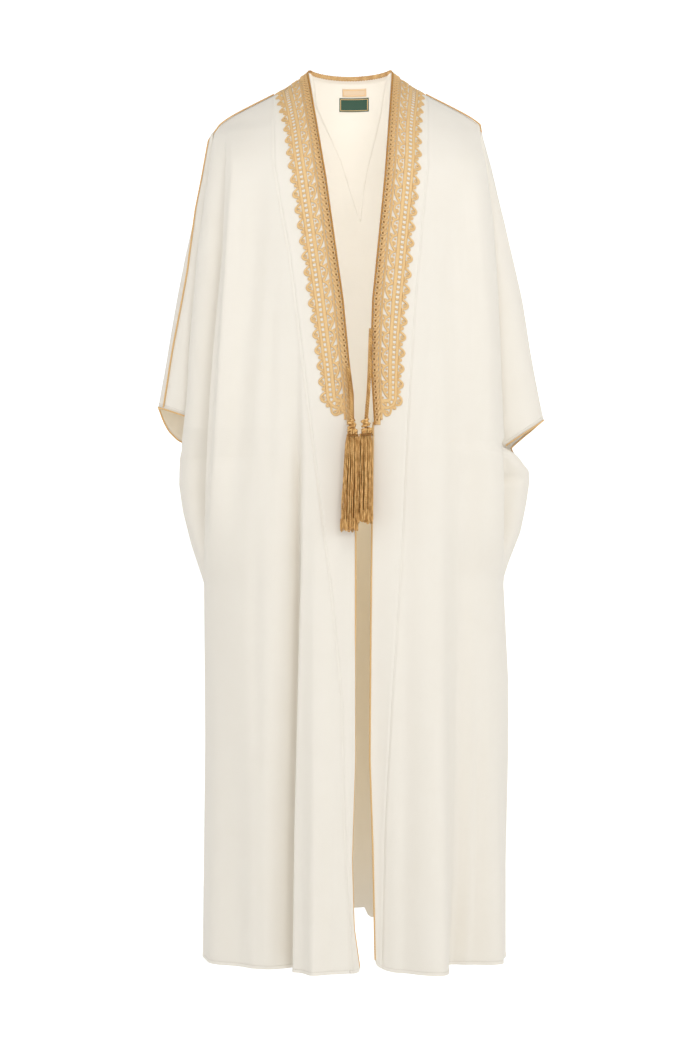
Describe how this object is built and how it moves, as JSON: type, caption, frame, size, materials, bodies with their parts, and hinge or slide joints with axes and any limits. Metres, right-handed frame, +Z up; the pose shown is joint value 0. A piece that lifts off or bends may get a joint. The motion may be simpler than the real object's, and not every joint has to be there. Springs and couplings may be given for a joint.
{
  "type": "bisht cloak",
  "caption": "Full-length open-fronted cloak in cream wool with wide sleeves, gold embroidered front bands, braid, piping and tasselled tie cords, held as worn.",
  "frame": {"origin": "middle of the neck opening, level with the two neck points", "axes": "+Z up, +Y to the back, +X to the wearer's left"},
  "size_m": [0.6409, 0.3744, 1.4606],
  "materials": {
    "cloth": "fine wool crepe, matt",
    "embroidery": "metallic gold thread, satin",
    "braid": "thick gold braid, satin",
    "piping": "gold cord piping, satin",
    "cord": "twisted gold cord, satin",
    "tassel": "twisted rayon strands, soft sheen",
    "label_tan": "woven satin",
    "label_green": "woven satin"
  },
  "bodies": {
    "root": {"back": "cloth", "neck_braid_back": "braid", "label_upper": "label_tan", "label_lower": "label_green", "front_gore_right": "cloth", "front_side_upper_right": "cloth", "front_side_lower_right": "cloth", "embroidery_right": "embroidery", "neck_braid_right": "braid", "front_piping_right": "piping", "sleeve_right": "cloth", "cuff_piping_right": "piping", "shoulder_piping_right": "piping", "cord_right": "cord", "knot_right": "cord", "bar_knot_right": "cord", "tassel_right": "tassel", "front_gore_left": "cloth", "front_side_upper_left": "cloth", "front_side_lower_left": "cloth", "embroidery_left": "embroidery", "neck_braid_left": "braid", "front_piping_left": "piping", "sleeve_left": "cloth", "cuff_piping_left": "piping", "shoulder_piping_left": "piping", "cord_left": "cord", "knot_left": "cord", "bar_knot_left": "cord", "tassel_left": "tassel"}
  },
  "joints": []
}
